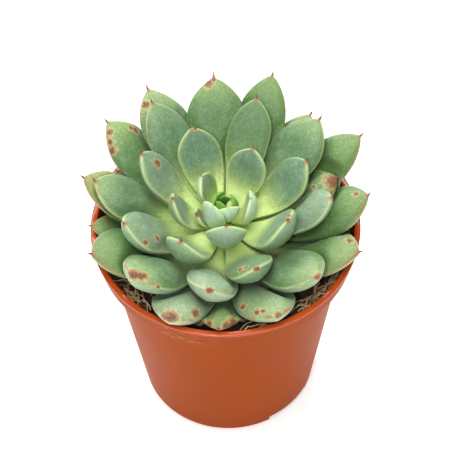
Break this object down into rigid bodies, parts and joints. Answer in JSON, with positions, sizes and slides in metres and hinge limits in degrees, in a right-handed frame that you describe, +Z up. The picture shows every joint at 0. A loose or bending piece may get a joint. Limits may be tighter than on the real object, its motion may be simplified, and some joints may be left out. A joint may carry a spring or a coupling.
{
  "type": "potted blue echeveria",
  "caption": "Rosette of thick, pointed blue-green leaves on a short stem, rooted in dark soil in a round tapered orange-brown plastic nursery pot.",
  "frame": {"origin": "centre of the pot's underside", "axes": "+Z up through the middle of the pot; -Y towards the viewer of the picture; +X to the right"},
  "size_m": [0.1111, 0.1105, 0.1211],
  "materials": {
    "pot_plastic": "satin moulded polypropylene, orange-brown",
    "potting_soil": "damp dark peat and bark crumbs",
    "stem_skin": "dull green-brown skin",
    "young_leaf": "yellow-green young leaf skin, slight sheen",
    "inner_leaf": "pale blue-green leaf skin with a waxy bloom",
    "outer_leaf": "grey-green leaf skin with a waxy bloom"
  },
  "bodies": {
    "root": {"pot": "pot_plastic", "soil": "potting_soil", "stem": "stem_skin", "heart": "young_leaf", "leaf_01": "inner_leaf", "leaf_02": "inner_leaf", "leaf_03": "inner_leaf", "leaf_04": "inner_leaf", "leaf_05": "inner_leaf", "leaf_06": "inner_leaf", "leaf_07": "inner_leaf", "leaf_08": "inner_leaf", "leaf_09": "inner_leaf", "leaf_10": "inner_leaf", "leaf_11": "inner_leaf", "leaf_12": "inner_leaf", "leaf_13": "inner_leaf", "leaf_14": "outer_leaf", "leaf_15": "outer_leaf", "leaf_16": "outer_leaf", "leaf_17": "outer_leaf", "leaf_18": "outer_leaf", "leaf_19": "outer_leaf", "leaf_20": "outer_leaf", "leaf_21": "outer_leaf", "leaf_22": "outer_leaf", "leaf_23": "outer_leaf", "leaf_24": "outer_leaf", "leaf_25": "outer_leaf", "leaf_26": "outer_leaf", "leaf_27": "outer_leaf", "leaf_28": "outer_leaf", "leaf_29": "outer_leaf", "leaf_30": "outer_leaf", "leaf_31": "outer_leaf", "leaf_32": "outer_leaf", "leaf_33": "outer_leaf", "leaf_34": "outer_leaf", "leaf_35": "outer_leaf", "leaf_36": "outer_leaf", "leaf_37": "outer_leaf", "leaf_38": "outer_leaf", "leaf_39": "outer_leaf", "leaf_40": "outer_leaf"}
  },
  "joints": []
}
